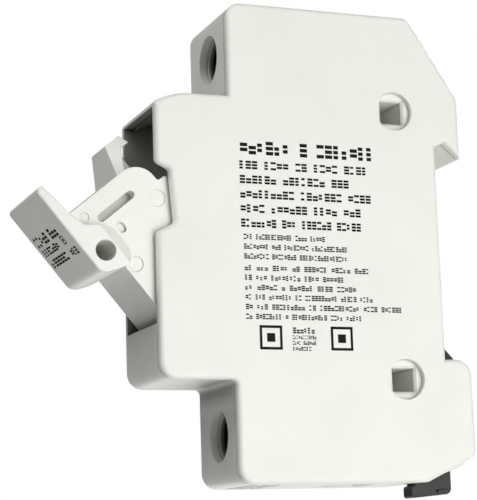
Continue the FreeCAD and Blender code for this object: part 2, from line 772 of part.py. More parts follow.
def make_fuse_carrier():
    """Drawn shut, then turned open about its trunnions."""
    body = new_body("fuse_carrier")
    grip = [
        (d.grip_front_y, d.grip_top_z),
        (d.grip_back_y, d.grip_top_z),
        (d.lip_root_y, d.plate_top_z),
        (d.neck_step_y, d.neck_step_z),
        (d.neck_brow_y, d.neck_brow_z),
        (d.neck_rear_y, d.neck_rear_high_z),
        (d.neck_rear_y, d.neck_rear_low_z),
        (d.neck_foot_y, d.neck_foot_z),
        (d.grip_heel_y, d.grip_heel_z),
        (d.grip_front_y, d.grip_low_z),
    ]
    slab(body, -d.half_width, d.half_width, grip)
    round_corners(body, d.grip_round, [(d.grip_front_y, d.grip_top_z)])
    round_corners(body, d.grip_low_round, [(d.grip_front_y, d.grip_low_z)])
    round_corners(body, d.grip_back_round, [(d.grip_back_y, d.grip_top_z), (d.grip_heel_y, d.grip_heel_z)])
    brow = [(d.neck_brow_y, d.neck_brow_z), (d.neck_rear_y, d.neck_rear_low_z)]
    round_corners(body, d.neck_round, brow)
    side = d.half_width.value
    dress(body, "Fillet", d.soft_edge, lambda edge: in_plane_x(edge, side) or in_plane_x(edge, -side))
    # The neck ramps down to the plates behind the lock hole
    ramp = new_sketch(body, "XY_Plane", d.neck_step_z)
    outside = d.half_width + d.past
    for sign in (-1, 1):
        add_polygon(ramp, [
            (d.half_width * sign, d.ramp_start_y),
            (outside * sign, d.ramp_start_y),
            (outside * sign, d.ramp_end_y),
            (d.carrier_half_x * sign, d.ramp_end_y),
        ])
    pocket(body, ramp, d.neck_step_z)
    # The two side plates and what joins them, as one block
    half = d.carrier_half_x
    plate = [
        (d.lip_root_y - d.soft_edge, d.plate_top_z),
        (d.neck_step_y - d.soft_edge, d.neck_step_z),
        (d.plate_front_y, d.neck_foot_z + d.past),
        (d.plate_front_y, d.plate_bottom_z),
        (d.plate_tail_y, d.plate_bottom_z),
        (d.plate_tail_y, d.plate_tail_z),
        (d.plate_bow_y, d.plate_bow_z),
        (d.plate_shelf_y, d.plate_step_z),
        (d.plate_rear_y, d.plate_step_z),
        (d.plate_rear_y, d.plate_top_z),
    ]
    slab(body, -half, half, plate)
    round_corners(body, d.heel_round, [(d.plate_front_y, d.plate_bottom_z)])
    round_corners(body, d.plate_round, [(d.plate_rear_y, d.plate_top_z)])
    round_corners(body, d.dip_round, [(d.plate_rear_y, d.plate_step_z)])
    round_corners(body, d.bow_round, [(d.plate_bow_y, d.plate_bow_z)])
    tail = [(d.plate_tail_y, d.plate_bottom_z), (d.plate_tail_y, d.plate_tail_z)]
    round_corners(body, d.tail_round, tail)
    # Arm that reaches up behind the grip and hooks over the fuse's upper end
    arm_front = [
        (d.hook_rear_y, d.arm_top_z),
        (d.arm_front_top_y, d.arm_top_z),
        (d.arm_front_low_y, d.plate_top_z - d.dip_round),
        (d.arm_front_low_y, d.arm_foot_z),
    ]
    near_rear = [
        (d.arm_web_rear_y, d.arm_foot_z),
        (d.arm_web_rear_y, d.plate_top_z),
        (d.arm_web_top_y, d.fuse_top_z),
        (d.hook_rear_y, d.fuse_top_z),
    ]
    slab(body, -half, d.arm_split_x, arm_front + [(d.hook_rear_y, d.arm_foot_z)])
    slab(body, d.arm_split_x - d.lap, d.arm_side_low_x, arm_front + near_rear)
    wedge = new_sketch(body, "XZ_Plane", -d.hook_rear_y - d.lap)
    add_polygon(wedge, [
        (d.arm_side_top_x, d.arm_top_z + d.past),
        (d.arm_side_top_x, d.arm_top_z),
        (d.arm_side_low_x, d.plate_top_z),
        (half, d.plate_top_z),
        (half, d.arm_top_z + d.past),
    ])
    cut_forward(body, wedge, d.hook_rear_y - d.arm_front_low_y + d.past)
    # Seat of the fuse: a round-fronted channel, open to the rear
    seat = new_sketch(body, "XY_Plane", d.fuse_top_z)
    add_circle(seat, ZERO, d.fuse_axis_y, d.fuse_seat_radius)
    depth = d.fuse_top_z - d.plate_bottom_z + d.past
    pocket(body, seat, depth)
    gate = new_sketch(body, "XY_Plane", d.fuse_top_z)
    seat_half = d.fuse_seat_radius
    add_rectangle(gate, -seat_half, seat_half, d.fuse_axis_y, d.plate_tail_y + d.past)
    pocket(body, gate, depth)
    # Hollow core between the plates, open into the fuse channel
    core = box_points(d.core_front_y, d.fuse_axis_y, d.core_low_z, d.core_high_z)
    sink(body, -d.core_half_x, d.core_half_x, core)
    rods(body, -d.trunnion_end_x, d.trunnion_end_x, [(d.pivot_y, d.pivot_z, d.trunnion_radius)])
    # Hole for a seal wire or a padlock
    bores(body, -outside, outside, [(d.lock_y, d.lock_z, d.lock_radius)])
    # Guide slots, detent dimples and shallow round marks on both plates
    slot_half = d.slot_width * 0.5
    guide = box_points(d.slot_front_y, d.slot_rear_y, d.slot_z - slot_half, d.slot_z + slot_half)
    dimple_half = d.dimple_width * 0.5
    dimple = box_points(
        d.dimple_y - dimple_half, d.dimple_y + dimple_half,
        d.dimple_z - d.dimple_length, d.dimple_z + d.dimple_length,
    )
    marks = [
        (d.mark_rear_y, d.mark_rear_z, d.mark_rear_radius),
        (d.mark_low_y, d.mark_low_z, d.mark_low_radius),
        (d.mark_front_y, d.mark_front_z, d.mark_front_radius),
    ]
    for low_x, high_x in both_sides(half, d.slot_depth):
        sink(body, low_x, high_x, guide)
    for low_x, high_x in both_sides(half, d.dimple_depth):
        sink(body, low_x, high_x, dimple)
    for low_x, high_x in both_sides(half, d.mark_depth):
        bores(body, low_x, high_x, marks)
    slot_ends = [
        (y, d.slot_z + slot_half * sign)
        for y in (d.slot_front_y, d.slot_rear_y) for sign in (-1, 1)
    ]
    round_corners(body, slot_half * NEARLY_ROUND, slot_ends)
    dimple_ends = [
        (d.dimple_y + dimple_half * sign_y, d.dimple_z + d.dimple_length * sign_z)
        for sign_y in (-1, 1) for sign_z in (-1, 1)
    ]
    round_corners(body, dimple_half * NEARLY_ROUND, dimple_ends)
    body.setExpression("Placement", carrier_placement())
    document.recompute()
    return body


def carrier_placement():
    """Expression for the open position: a turn about X through the trunnions."""
    turn = "rotation(vector(1; 0; 0); Dims.carrier_open_angle)"
    centre = "vector(0; Dims.pivot_y; Dims.pivot_z)"
    return "placement(vector(0; 0; 0); %s; %s)" % (turn, centre)


# ---------------------------------------------------------------- contacts


def prism(body, role, level, length, points):
    """Adds one polygon along its plane's normal."""
    sketch = new_sketch(body, role, level)
    add_polygon(sketch, points)
    return pad(body, sketch, length)


def fork_points(inner, sheet_thick, tip, web, lean):
    """A U of sheet metal: tips at one end, web at the other, tips leaning out by lean."""
    outer = inner + sheet_thick
    web_in = web[0]
    web_out = web[1]
    neck = tip[0]
    end = tip[1]
    return [
        (-outer - lean, end), (-inner - lean, end), (-inner, neck), (-inner, web_in),
        (inner, web_in), (inner, neck), (inner + lean, end), (outer + lean, end),
        (outer, neck), (outer, web_out), (-outer, web_out), (-outer, neck),
    ]


def make_upper_contact_jaw():
    """Leaves to the front, either side of the fuse's upper cap; web against the bar."""
    body = new_body("upper_contact_jaw")
    web = (d.bar_upper_y - d.jaw_sheet, d.bar_upper_y)
    tip = (d.jaw_upper_front_y + d.jaw_flare_length, d.jaw_upper_front_y)
    points = fork_points(d.jaw_inner_x, d.jaw_sheet, tip, web, d.jaw_flare)
    prism(body, "XY_Plane", d.jaw_upper_low_z, d.jaw_upper_high_z - d.jaw_upper_low_z, points)
    outer = d.jaw_inner_x + d.jaw_sheet
    round_corners(body, d.jaw_bend, [(-d.jaw_inner_x, web[0]), (d.jaw_inner_x, web[0])], axis=2)
    round_corners(body, d.jaw_bend + d.jaw_sheet, [(-outer, web[1]), (outer, web[1])], axis=2)
    half = d.bar_half_x
    tongue = [(-half, web[0]), (half, web[0]), (half, web[1]), (-half, web[1])]
    prism(body, "XY_Plane", d.bar_upper_low_z, d.jaw_upper_low_z - d.bar_upper_low_z, tongue)
    rivet_holes(body, "XZ_Plane", -web[1] - d.past, d.rivet_upper_z)
    return body


def make_lower_contact_jaw():
    """Leaves up, either side of the fuse's lower cap; web on top of the bar."""
    body = new_body("lower_contact_jaw")
    web = (d.bar_lower_top_z + d.jaw_sheet, d.bar_lower_top_z)
    tip = (d.jaw_lower_high_z - d.jaw_flare_length, d.jaw_lower_high_z)
    points = fork_points(d.jaw_inner_x, d.jaw_sheet, tip, web, d.jaw_flare)
    prism(body, "XZ_Plane", -d.jaw_lower_rear_y, d.jaw_lower_rear_y - d.jaw_lower_front_y, points)
    outer = d.jaw_inner_x + d.jaw_sheet
    round_corners(body, d.jaw_bend, [(-d.jaw_inner_x, web[0]), (d.jaw_inner_x, web[0])], axis=1)
    round_corners(body, d.jaw_bend + d.jaw_sheet, [(-outer, web[1]), (outer, web[1])], axis=1)
    rivet_holes(body, "XY_Plane", web[0] + d.past, d.rivet_lower_y)
    return body


def rivet_holes(body, role, level, along_plane):
    """Two holes side by side across the contact."""
    sketch = new_sketch(body, role, level)
    for sign in (-1, 1):
        add_circle(sketch, d.rivet_half_pitch * sign, along_plane, d.rivet_radius)
    return pocket(body, sketch, d.rivet_drill, along_normal=role == "XZ_Plane")


def make_upper_terminal_bar():
    """Up behind the jaw, a jog to the rear, then up into the cage."""
    body = new_body("upper_terminal_bar")
    rear = d.bar_terminal_y + d.bar_thick
    slab(body, -d.bar_half_x, d.bar_half_x, [
        (d.bar_upper_y, d.bar_upper_low_z),
        (d.bar_upper_y + d.bar_thick, d.bar_upper_low_z),
        (d.bar_upper_y + d.bar_thick, d.bar_upper_jog_z),
        (rear, d.bar_upper_jog_z),
        (rear, d.bar_upper_end_z),
        (d.bar_terminal_y, d.bar_upper_end_z),
        (d.bar_terminal_y, d.bar_upper_jog_z + d.bar_thick),
        (d.bar_upper_y, d.bar_upper_jog_z + d.bar_thick),
    ])
    round_corners(body, d.jaw_bend, [
        (d.bar_upper_y, d.bar_upper_jog_z + d.bar_thick),
        (rear, d.bar_upper_jog_z),
    ])
    rivet_holes(body, "XZ_Plane", -d.bar_upper_y - d.bar_thick - d.past, d.rivet_upper_z)
    return body


def make_lower_terminal_bar():
    """Back under the jaw, then down into the cage."""
    body = new_body("lower_terminal_bar")
    rear = d.bar_terminal_y + d.bar_thick
    under = d.bar_lower_top_z - d.bar_thick
    slab(body, -d.bar_half_x, d.bar_half_x, [
        (d.bar_lower_front_y, d.bar_lower_top_z),
        (d.bar_lower_front_y, under),
        (d.bar_terminal_y, under),
        (d.bar_terminal_y, d.bar_lower_end_z),
        (rear, d.bar_lower_end_z),
        (rear, d.bar_lower_top_z),
    ])
    round_corners(body, d.jaw_bend, [(rear, d.bar_lower_top_z)])
    rivet_holes(body, "XY_Plane", d.bar_lower_top_z + d.past, d.rivet_lower_y)
    return body


def make_upper_jaw_spring():
    """Steel clip round the jaw and the bar, pressing the leaves together."""
    body = new_body("upper_jaw_spring")
    inner = d.jaw_inner_x + d.jaw_sheet + d.ring_gap
    back = d.bar_upper_y + d.bar_thick + d.ring_gap
    tip = (d.ring_upper_front_y + d.ring_tip, d.ring_upper_front_y)
    points = fork_points(inner, d.ring_sheet, tip, (back, back + d.ring_sheet), 0)
    prism(body, "XY_Plane", d.ring_upper_low_z, d.ring_upper_high_z - d.ring_upper_low_z, points)
    outer, end = inner + d.ring_sheet, back + d.ring_sheet
    round_corners(body, d.jaw_bend, [(-outer, end), (outer, end)], axis=2)
    return body


def make_lower_jaw_spring():
    """The same clip, round the lower jaw from below."""
    body = new_body("lower_jaw_spring")
    inner = d.jaw_inner_x + d.jaw_sheet + d.ring_gap
    back = d.bar_lower_top_z - d.bar_thick - d.ring_gap
    tip = (d.ring_lower_high_z - d.ring_tip, d.ring_lower_high_z)
    points = fork_points(inner, d.ring_sheet, tip, (back, back - d.ring_sheet), 0)
    prism(body, "XZ_Plane", -d.ring_lower_rear_y, d.ring_lower_rear_y - d.ring_lower_front_y, points)
    outer, end = inner + d.ring_sheet, back - d.ring_sheet
    round_corners(body, d.jaw_bend, [(-outer, end), (outer, end)], axis=1)
    return body


def cylinder_along(name, radius, length, place):
    """A Part cylinder bound to the sheet, standing along local Z."""
    solid = document.addObject("Part::Cylinder", name)
    solid.setExpression("Radius", as_size(radius).text)
    solid.setExpression("Height", as_size(length).text)
    solid.setExpression("Placement", place)
    return solid


def make_rivets(label, axis_place, grip_length):
    """Two identical rivets side by side, each a shank with two flat heads."""
    parts = []
    spans = [
        (d.rivet_radius, ZERO, grip_length),
        (d.rivet_head_radius, -d.rivet_head, d.rivet_head),
        (d.rivet_head_radius, grip_length, d.rivet_head),
    ]
    for sign in (-1, 1):
        for radius, start, length in spans:
            place = axis_place(d.rivet_half_pitch * sign, start)
            parts.append(cylinder_along(label + "_piece", radius, length, place))
    group = document.addObject("Part::MultiFuse", label)
    group.Label = label
    group.Shapes = parts
    group.Refine = True
    document.recompute()
    return group


def upper_rivet_place(across, start):
    """Along +Y from the jaw's front face."""
    front = d.bar_upper_y - d.jaw_sheet + start
    base = "vector(%s; %s; Dims.rivet_upper_z)" % (across.text, front.text)
    return "placement(%s; rotation(vector(1; 0; 0); -90))" % base


def lower_rivet_place(across, start):
    """Along +Z from the bar's underside."""
    low = d.bar_lower_top_z - d.bar_thick + start
    base = "vector(%s; Dims.rivet_lower_y; %s)" % (across.text, low.text)
    return "placement(%s; rotation(vector(1; 0; 0); 0))" % base


# ---------------------------------------------------------------- terminals


def make_terminal_cage(label, centre_z):
    """Steel cage: threaded front plate, open top and bottom for the bar and the wire."""
    body = new_body(label)
    low = -d.cage_half_z
    tall = d.cage_half_z * 2
    outer = d.cage_half_x
    inner = outer - d.cage_wall
    front = d.cage_front_y + d.cage_front_wall
    rear = d.cage_rear_y - d.cage_rear_wall
    ring = new_sketch(body, "XY_Plane", low)
    add_rectangle(ring, -outer, outer, d.cage_front_y, d.cage_rear_y)
    add_rectangle(ring, -inner, inner, front, rear)
    pad(body, ring, tall)
    corners = [(outer * sign, y) for sign in (-1, 1) for y in (d.cage_front_y, d.cage_rear_y)]
    round_corners(body, d.jaw_bend, corners, axis=2)
    thread = new_sketch(body, "XZ_Plane", -front - d.lap)
    add_circle(thread, ZERO, ZERO, d.screw_shank_radius + d.thread_gap)
    cut_forward(body, thread, d.cage_front_wall + d.past)
    # Serrations that bite the wire
    bite_half_x = inner - d.tooth_inset
    teeth = new_sketch(body, "YZ_Plane", bite_half_x)
    tooth = d.tooth
    base = rear - d.lap
    for number in range(-TEETH_EACH_WAY, TEETH_EACH_WAY + 1):
        height = tooth * 2 * number
        add_polygon(teeth, [(base, height - tooth), (base, height + tooth), (rear + tooth, height)])
    pocket(body, teeth, bite_half_x * 2)
    body.setExpression("Placement.Base.z", centre_z.text)
    document.recompute()
    return body


def make_terminal_screw(label, centre_z):
    """Captive screw along Y: round head with a cross recess, plain-drawn thread."""
    body = new_body(label)
    head = d.screw_head_radius
    shank = d.screw_shank_radius
    front = d.screw_head_front_y
    rear = front + d.screw_head_length
    tip = d.screw_tip_y
    profile = new_sketch(body, "XY_Plane", 0)
    add_polygon(profile, [
        (ZERO, front),
        (head - d.screw_head_round, front),
        (head, front + d.screw_head_round),
        (head, rear),
        (shank, rear),
        (shank, tip - d.screw_tip_chamfer),
        (shank - d.screw_tip_chamfer, tip),
        (ZERO, tip),
    ])
    turning = body.newObject("PartDesign::Revolution", label + "_turning")
    turning.Profile = profile
    turning.ReferenceAxis = (profile, ["V_Axis"])
    turning.Angle = 360
    document.recompute()
    wide = d.screw_recess_length * 0.5
    thin = d.screw_recess_width * 0.5
    cross = new_sketch(body, "XZ_Plane", -front)
    add_polygon(cross, [
        (-wide, -thin), (-thin, -thin), (-thin, -wide), (thin, -wide), (thin, -thin), (wide, -thin),
        (wide, thin), (thin, thin), (thin, wide), (-thin, wide), (-thin, thin), (-wide, thin),
    ])
    pocket(body, cross, d.screw_recess_depth)
    body.setExpression("Placement.Base.z", centre_z.text)
    document.recompute()
    return body


# ---------------------------------------------------------------- rail clip


def make_din_clip():
    """Slider with a nose that catches the rail's lower edge and a tab to pull it down by."""
    body = new_body("din_clip")
    slab(body, d.clip_low_x, d.clip_high_x, [
        (d.clip_nose_y, d.clip_nose_z),
        (d.clip_rear_y, d.clip_slope_z),
        (d.clip_rear_y, d.clip_step_z),
        (d.clip_leg_y, d.clip_step_z),
        (d.clip_leg_y, d.clip_rear_low_z),
        (d.clip_tab_y, d.clip_front_low_z),
        (d.clip_tab_y, d.clip_tab_top_z),
        (d.clip_front_y, d.clip_tab_top_z),
        (d.clip_front_y, d.clip_knee_z),
        (d.clip_top_y, d.clip_knee_z),
        (d.clip_top_y, d.clip_top_z),
        (d.clip_nose_y, d.clip_top_z),
    ])
    window = box_points(
        d.clip_window_front_y, d.clip_window_rear_y, d.clip_window_low_z, d.clip_window_top_z,
    )
    sink(body, d.clip_low_x, d.clip_high_x, window)
    round_corners(body, d.clip_round * 2, [(d.clip_leg_y, d.clip_rear_low_z)])
    round_corners(body, d.clip_round, [
        (d.clip_tab_y, d.clip_front_low_z),
        (d.clip_tab_y, d.clip_tab_top_z),
        (d.clip_rear_y, d.clip_slope_z),
    ])
    foot_low_z = d.clip_rear_low_z + d.clip_gap
    foot = box_points(d.clip_foot_y, d.clip_leg_y - d.clip_round, foot_low_z, d.clip_foot_top_z)
    slab(body, d.clip_high_x, d.clip_foot_high_x, foot)
    return body


def make_din_clip_spring():
    """Coil between the housing's post and the top of the clip's window."""
    body = new_body("din_clip_spring")
    wire = d.coil_wire_radius
    length = d.clip_window_top_z - d.coil_foot_z - wire * 2
    section = new_sketch(body, "XZ_Plane", 0)
    add_circle(section, d.coil_radius, ZERO, wire)
    coil = body.newObject("PartDesign::AdditiveHelix", "coil")
    coil.Profile = section
    coil.ReferenceAxis = (section, ["V_Axis"])
    coil.Mode = "height-turns-growth"
    coil.setExpression("Height", length.text)
    coil.setExpression("Turns", d.coil_turns.text)
    body.setExpression("Placement.Base.x", d.coil_x.text)
    body.setExpression("Placement.Base.y", d.coil_y.text)
    body.setExpression("Placement.Base.z", (d.coil_foot_z + wire).text)
    document.recompute()
    return body


# ---------------------------------------------------------------- all sub-parts

subparts = [
    make_body_shell(),
    make_side_cover(),
    make_fuse_carrier(),
    make_upper_contact_jaw(),
    make_lower_contact_jaw(),
    make_upper_jaw_spring(),
    make_lower_jaw_spring(),
    make_upper_terminal_bar(),
    make_lower_terminal_bar(),
    make_rivets("upper_rivets", upper_rivet_place, d.jaw_sheet + d.bar_thick),
    make_rivets("lower_rivets", lower_rivet_place, d.jaw_sheet + d.bar_thick),
]
for name, centre_z in TERMINALS:
    subparts.append(make_terminal_cage(name + "_terminal_cage", centre_z))
    subparts.append(make_terminal_screw(name + "_terminal_screw", centre_z))
subparts.append(make_din_clip())
subparts.append(make_din_clip_spring())

document.recompute()
for item in document.Objects:
    if "Invalid" in item.State or "Error" in item.State:
        raise RuntimeError("%s failed: %s" % (item.Label, item.State))

os.makedirs("parts", exist_ok=True)
for item in subparts:
    if item.Shape.isNull() or not item.Shape.isValid():
        raise RuntimeError(item.Label + " has no valid shape")
    item.Shape.exportStep("parts/%s.step" % item.Label)
    print("%-22s solids %d  volume %8.1f mm3" % (item.Label, len(item.Shape.Solids), item.Shape.Volume))
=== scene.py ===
"""Looks of a rail-mounted cartridge fuse holder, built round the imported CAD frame. Metres."""

import json
import math
import random

import bpy
from mathutils import Matrix, Vector


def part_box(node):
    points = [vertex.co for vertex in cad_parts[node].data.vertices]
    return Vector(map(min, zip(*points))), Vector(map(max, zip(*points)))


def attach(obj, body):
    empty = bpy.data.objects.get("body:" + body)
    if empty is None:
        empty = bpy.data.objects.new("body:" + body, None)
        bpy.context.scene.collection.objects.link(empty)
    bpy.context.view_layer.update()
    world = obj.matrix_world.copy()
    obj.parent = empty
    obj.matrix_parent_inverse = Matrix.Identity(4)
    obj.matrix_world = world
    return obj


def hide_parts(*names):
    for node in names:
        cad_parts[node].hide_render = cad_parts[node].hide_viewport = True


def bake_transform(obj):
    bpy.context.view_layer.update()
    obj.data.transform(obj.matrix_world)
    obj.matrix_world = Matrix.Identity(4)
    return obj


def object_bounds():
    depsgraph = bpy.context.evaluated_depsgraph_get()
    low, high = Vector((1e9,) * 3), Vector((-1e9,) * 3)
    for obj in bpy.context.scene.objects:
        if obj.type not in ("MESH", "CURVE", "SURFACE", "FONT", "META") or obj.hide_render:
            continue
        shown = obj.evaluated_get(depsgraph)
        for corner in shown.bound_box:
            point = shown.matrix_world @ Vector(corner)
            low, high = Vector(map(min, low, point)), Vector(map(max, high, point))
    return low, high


MM = 0.001

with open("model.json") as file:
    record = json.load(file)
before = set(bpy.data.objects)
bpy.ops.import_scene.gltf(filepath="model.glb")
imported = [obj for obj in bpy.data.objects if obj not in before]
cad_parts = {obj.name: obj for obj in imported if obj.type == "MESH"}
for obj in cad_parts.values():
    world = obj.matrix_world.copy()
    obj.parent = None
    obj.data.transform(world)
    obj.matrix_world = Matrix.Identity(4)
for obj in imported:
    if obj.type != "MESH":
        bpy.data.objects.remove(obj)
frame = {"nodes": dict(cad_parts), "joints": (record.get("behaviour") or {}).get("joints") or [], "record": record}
nodes = frame["nodes"]
cad_low, cad_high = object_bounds()

# Camera: a long lens just below the holder, turned to show its side and its front
CAMERA_AZIMUTH = 68.73
CAMERA_ELEVATION = -10.28
CAMERA_ROLL = 1.81
CAMERA_PLACE = Vector((251.47, -129.77, -48.38)) * MM
CAMERA_LENS = 122.43

# Ink stands this far out of the plastic, and reaches this far into it
INK_PROUD = 0.015 * MM
INK_SUNK = 0.01 * MM

# The fuse chamber is dimmed by painted shade in the housing's colour. It ends at this depth, this far to the side,
# and this far up and down
CHAMBER_REAR = -12 * MM
CHAMBER_SIDE = 7.6 * MM
CHAMBER_HEIGHT = 25 * MM
# Depth at which the screw holes open to the front
SCREW_MOUTH = -35.2 * MM

# Radii to which the shading softens edges of moulded plastic and of sheet metal
MOULDED_EDGE = 0.2 * MM
PRESSED_EDGE = 0.12 * MM

# How far away a facing wall still darkens a seam, and the fuse chamber, with painted shade; and how dark the
# painted seam shade gets
SEAM_SHADE_REACH = 0.6 * MM
CHAMBER_SHADE_REACH = 12 * MM
SEAM_SHADE_DARKEST = 0.6

# Where the softened normal turns from the face's own by this cosine, an edge counts as fully worn
WORN_EDGE = 0.9

# The floor lies this far under the holder, and its side is this long
FLOOR_BELOW = 0.20
FLOOR_SIZE = 8.0


# ---------------------------------------------------------------- materials


class Graph:
    """Builds one material's nodes; each method returns the output socket it makes."""

    def __init__(self, name):
        self.material = bpy.data.materials.new(name)
        self.material.use_nodes = True
        self.tree = self.material.node_tree
        self.shader = self.tree.nodes["Principled BSDF"]
        self.place = self.node("ShaderNodeTexCoord").outputs["Object"]

    def node(self, kind, **settings):
        made = self.tree.nodes.new(kind)
        for key, value in settings.items():
            setattr(made, key, value)
        return made

    def feed(self, socket, value):
        if isinstance(value, bpy.types.NodeSocket):
            self.tree.links.new(value, socket)
        else:
            socket.default_value = value

    def set(self, name, value):
        self.feed(self.shader.inputs[name], value)

    def noise(self, size, detail=3.0, stretch=(1, 1, 1)):
        """Noise whose features are about size metres across."""
        mapping = self.node("ShaderNodeMapping")
        self.feed(mapping.inputs["Vector"], self.place)
        mapping.inputs["Scale"].default_value = [1 / (size * axis) for axis in stretch]
        texture = self.node("ShaderNodeTexNoise")
        self.feed(texture.inputs["Vector"], mapping.outputs["Vector"])
        texture.inputs["Scale"].default_value = 1.0
        texture.inputs["Detail"].default_value = detail
        return texture.outputs["Fac"]

    def ramp(self, value, low, high, to_low, to_high):
        made = self.node("ShaderNodeMapRange")
        for key, number in (("Value", value), ("From Min", low), ("From Max", high),
                            ("To Min", to_low), ("To Max", to_high)):
            self.feed(made.inputs[key], number)
        return made.outputs["Result"]

    def math(self, operation, *values):
        made = self.node("ShaderNodeMath", operation=operation)
        for socket, value in zip(made.inputs, values):
            self.feed(socket, value)
        return made.outputs["Value"]

    def times(self, first, second):
        return self.math("MULTIPLY", first, second)

    def mix(self, share, first, second, blend="MIX"):
        """Mixes two colours."""
        made = self.node("ShaderNodeMix", data_type="RGBA", blend_type=blend)
        self.feed(made.inputs["Factor"], share)
        self.feed(made.inputs["A"], first)
        self.feed(made.inputs["B"], second)
        return made.outputs["Result"]

    def bevel(self, radius):
        made = self.node("ShaderNodeBevel", samples=6)
        made.inputs["Radius"].default_value = radius
        return made.outputs["Normal"]

    def edges(self, soft_normal):
        """1 along edges and corners, 0 on open faces."""
        face = self.node("ShaderNodeNewGeometry").outputs["Normal"]
        dot = self.node("ShaderNodeVectorMath", operation="DOT_PRODUCT")
        self.feed(dot.inputs[0], face)
        self.feed(dot.inputs[1], soft_normal)
        return self.ramp(dot.outputs["Value"], WORN_EDGE, 1.0, 1.0, 0.0)

    def seam_shade(self, distance, darkest):
        """Painted shade: 1 in the open, down to darkest in narrow seams and tight inner corners."""
        made = self.node("ShaderNodeAmbientOcclusion", samples=6)
        made.inputs["Distance"].default_value = distance
        return self.ramp(made.outputs["AO"], 0.3, 0.8, darkest, 1.0)

    def chamber_shade(self, distance, darkest):
        """Painted shade: 1 in the open, down to darkest in the fuse chamber; the walls round it stay clear."""
        made = self.node("ShaderNodeAmbientOcclusion", samples=8)
        made.inputs["Distance"].default_value = distance
        split = self.node("ShaderNodeSeparateXYZ")
        self.feed(split.inputs["Vector"], self.place)
        depth = split.outputs["Y"]
        height = self.math("ABSOLUTE", split.outputs["Z"])
        behind = self.ramp(depth, CHAMBER_REAR - 4 * MM, CHAMBER_REAR, darkest, 1.0)
        beside = self.ramp(split.outputs["X"], CHAMBER_SIDE - 1 * MM, CHAMBER_SIDE, darkest, 1.0)
        # The screw holes above and below it get painted shade only behind their mouths
        beyond = self.ramp(height, CHAMBER_HEIGHT - 2 * MM, CHAMBER_HEIGHT, darkest, 1.0)
        mouths = self.ramp(depth, SCREW_MOUTH, SCREW_MOUTH + 1 * MM, 1.0, darkest)
        clear = self.math("MAXIMUM", behind, beside)
        least = self.math("MAXIMUM", clear, self.math("MINIMUM", beyond, mouths))
        return self.ramp(made.outputs["AO"], 0.25, 0.95, least, 1.0)

    def bump(self, height, depth, normal=None):
        made = self.node("ShaderNodeBump")
        made.inputs["Distance"].default_value = depth
        self.feed(made.inputs["Height"], height)
        if normal is not None:
            self.feed(made.inputs["Normal"], normal)
        return made.outputs["Normal"]


def grey(value):
    return (value, value, value, 1.0)


def moulded_plastic(name, colour, worn, roughness, darkest=1.0):
    """Spark-textured moulded plastic: faint mottle, soft rubbed edges, painted shade in seams, painted shade in
    the fuse chamber when darkest is below 1, and a fine even grain.
    """
    g = Graph(name)
    soft = g.bevel(MOULDED_EDGE)
    mottle = g.ramp(g.noise(14 * MM), 0.3, 0.7, 0.975, 1.02)
    tone = g.mix(1.0, colour, mottle, blend="MULTIPLY")
    rubbed = g.times(g.edges(soft), g.ramp(g.noise(1.5 * MM, 4), 0.35, 0.65, 0.15, 0.7))
    tone = g.mix(rubbed, tone, worn)
    # Painted shade: the colour is darkened in seams and tight inner corners
    tone = g.mix(1.0, tone, g.seam_shade(SEAM_SHADE_REACH, SEAM_SHADE_DARKEST), blend="MULTIPLY")
    # Painted shade: the housing's colour is darkened inside the fuse chamber
    if darkest < 1.0:
        tone = g.mix(1.0, tone, g.chamber_shade(CHAMBER_SHADE_REACH, darkest), blend="MULTIPLY")
    g.set("Base Color", tone)
    g.set("Roughness", g.ramp(g.noise(2.5 * MM, 5), 0.3, 0.7, roughness - 0.05, roughness + 0.06))
    grain = g.noise(0.22 * MM, 2)
    sink = g.noise(9 * MM, 1)
    normal = g.bump(sink, 0.12 * MM, soft)
    g.set("Normal", g.bump(grain, 0.006 * MM, normal))
    g.set("IOR", 1.5)
    return g.material


def plated_metal(name, colour, dull, roughness, along=(1, 1, 1)):
    """Plated sheet or bar: drawn streaks, duller patches and bright rubbed edges."""
    g = Graph(name)
    soft = g.bevel(PRESSED_EDGE)
    streaks = g.noise(0.5 * MM, 4, along)
    tone = g.mix(g.ramp(g.noise(3 * MM, 4), 0.35, 0.7, 0.0, 0.6), colour, dull)
    tone = g.mix(g.times(g.edges(soft), 0.5), tone, grey(0.9))
    g.set("Base Color", tone)
    g.set("Metallic", 1.0)
    g.set("Roughness", g.ramp(streaks, 0.3, 0.7, roughness - 0.08, roughness + 0.1))
    g.set("Normal", g.bump(streaks, 0.004 * MM, soft))
    return g.material


def printed_ink(name):
    """Pad-printed ink: dense black, slightly thin in places."""
    g = Graph(name)
    thin = g.ramp(g.noise(0.3 * MM, 3), 0.35, 0.75, 0.0, 0.5)
    g.set("Base Color", g.mix(thin, grey(0.004), grey(0.02)))
    g.set("Roughness", g.ramp(g.noise(0.4 * MM, 3), 0.3, 0.7, 0.6, 0.8))
    g.set("Specular IOR Level", 0.15)
    g.set("Normal", g.bump(g.noise(0.15 * MM, 2), 0.003 * MM))
    return g.material


def paper_white(name, value, seen):
    """Matt white paper, which the camera sees lifted by seen so that it isn't gloomy."""
    g = Graph(name)
    g.set("Base Color", g.mix(g.noise(0.4), grey(value), grey(value * 0.98)))
    g.set("Roughness", g.ramp(g.noise(0.05), 0.3, 0.7, 0.85, 0.95))
    g.set("Emission Color", grey(1.0))
    g.set("Emission Strength", g.times(g.node("ShaderNodeLightPath").outputs["Is Camera Ray"], seen))
    return g.material


# Colour, colour where worn, roughness, and for the housing how dark the painted shade in its fuse chamber gets
PLASTICS = {
    "shell_plastic": ((0.80, 0.80, 0.765, 1), (0.88, 0.88, 0.85, 1), 0.42, 0.06),
    "carrier_plastic": ((0.82, 0.82, 0.785, 1), (0.9, 0.9, 0.87, 1), 0.4),
    "clip_plastic": ((0.01, 0.01, 0.01, 1), (0.045, 0.045, 0.045, 1), 0.52),
}
